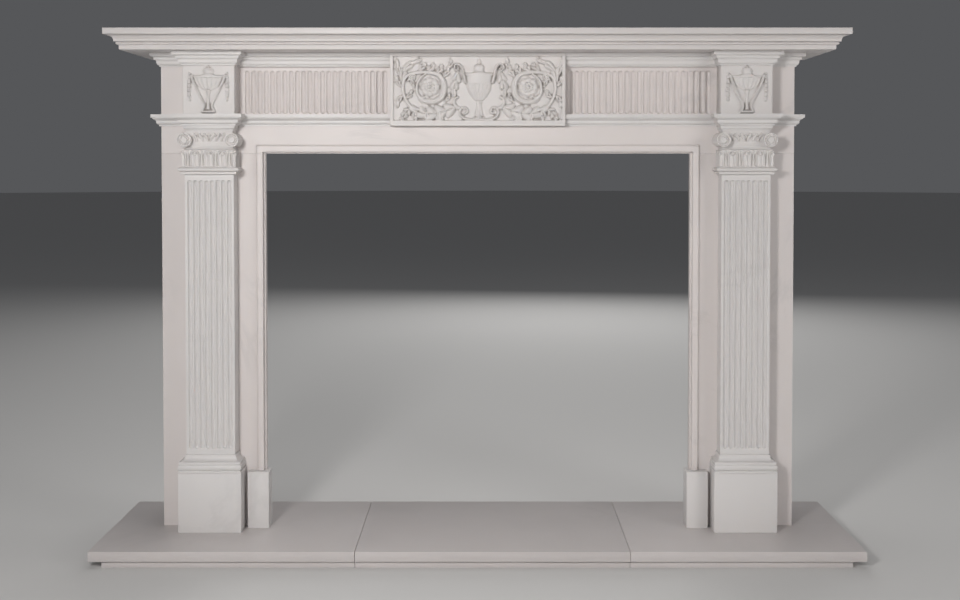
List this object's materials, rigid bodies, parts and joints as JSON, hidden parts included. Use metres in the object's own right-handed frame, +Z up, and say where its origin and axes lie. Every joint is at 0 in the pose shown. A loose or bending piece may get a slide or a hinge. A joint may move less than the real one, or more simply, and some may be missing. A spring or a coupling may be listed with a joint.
{
  "type": "marble fireplace surround",
  "caption": "Neo-classical white marble fireplace with moulded shelf, fluted frieze, carved urn tablet, fluted pilasters with scrolled capitals, and a slab hearth.",
  "frame": {"origin": "centre of the hearth's underside, on the floor", "axes": "+Z up, +X to the viewer's right along the shelf, -Y out of the front into the room, +Y towards the wall"},
  "size_m": [1.833, 0.415, 1.276],
  "materials": {
    "pilaster_marble": "honed",
    "backing_marble": "honed",
    "carved_marble": "carved and honed",
    "shelf_marble": "polished",
    "hearth_marble": "honed"
  },
  "bodies": {
    "root": {"architrave_block_left": "pilaster_marble", "architrave_block_right": "pilaster_marble", "bed_moulding_left": "pilaster_marble", "bed_moulding_right": "pilaster_marble", "bed_moulding_run_left": "pilaster_marble", "bed_moulding_run_right": "pilaster_marble", "foot_block_left": "pilaster_marble", "foot_block_right": "pilaster_marble", "frieze_board": "backing_marble", "frieze_moulding_left": "pilaster_marble", "frieze_moulding_right": "pilaster_marble", "frieze_moulding_run_left": "pilaster_marble", "frieze_moulding_run_right": "pilaster_marble", "hearth_course_centre": "hearth_marble", "hearth_course_left": "hearth_marble", "hearth_course_right": "hearth_marble", "hearth_slab_centre": "hearth_marble", "hearth_slab_left": "hearth_marble", "hearth_slab_right": "hearth_marble", "leg_panel_left": "backing_marble", "leg_panel_right": "backing_marble", "mantel_shelf": "shelf_marble", "pilaster_base_left": "pilaster_marble", "pilaster_base_right": "pilaster_marble", "pilaster_capital_left": "carved_marble", "pilaster_capital_right": "carved_marble", "pilaster_plinth_left": "pilaster_marble", "pilaster_plinth_right": "pilaster_marble", "pilaster_shaft_left": "pilaster_marble", "pilaster_shaft_right": "pilaster_marble", "urn_block_left": "carved_marble", "urn_block_right": "carved_marble", "urn_tablet": "carved_marble"}
  },
  "joints": []
}
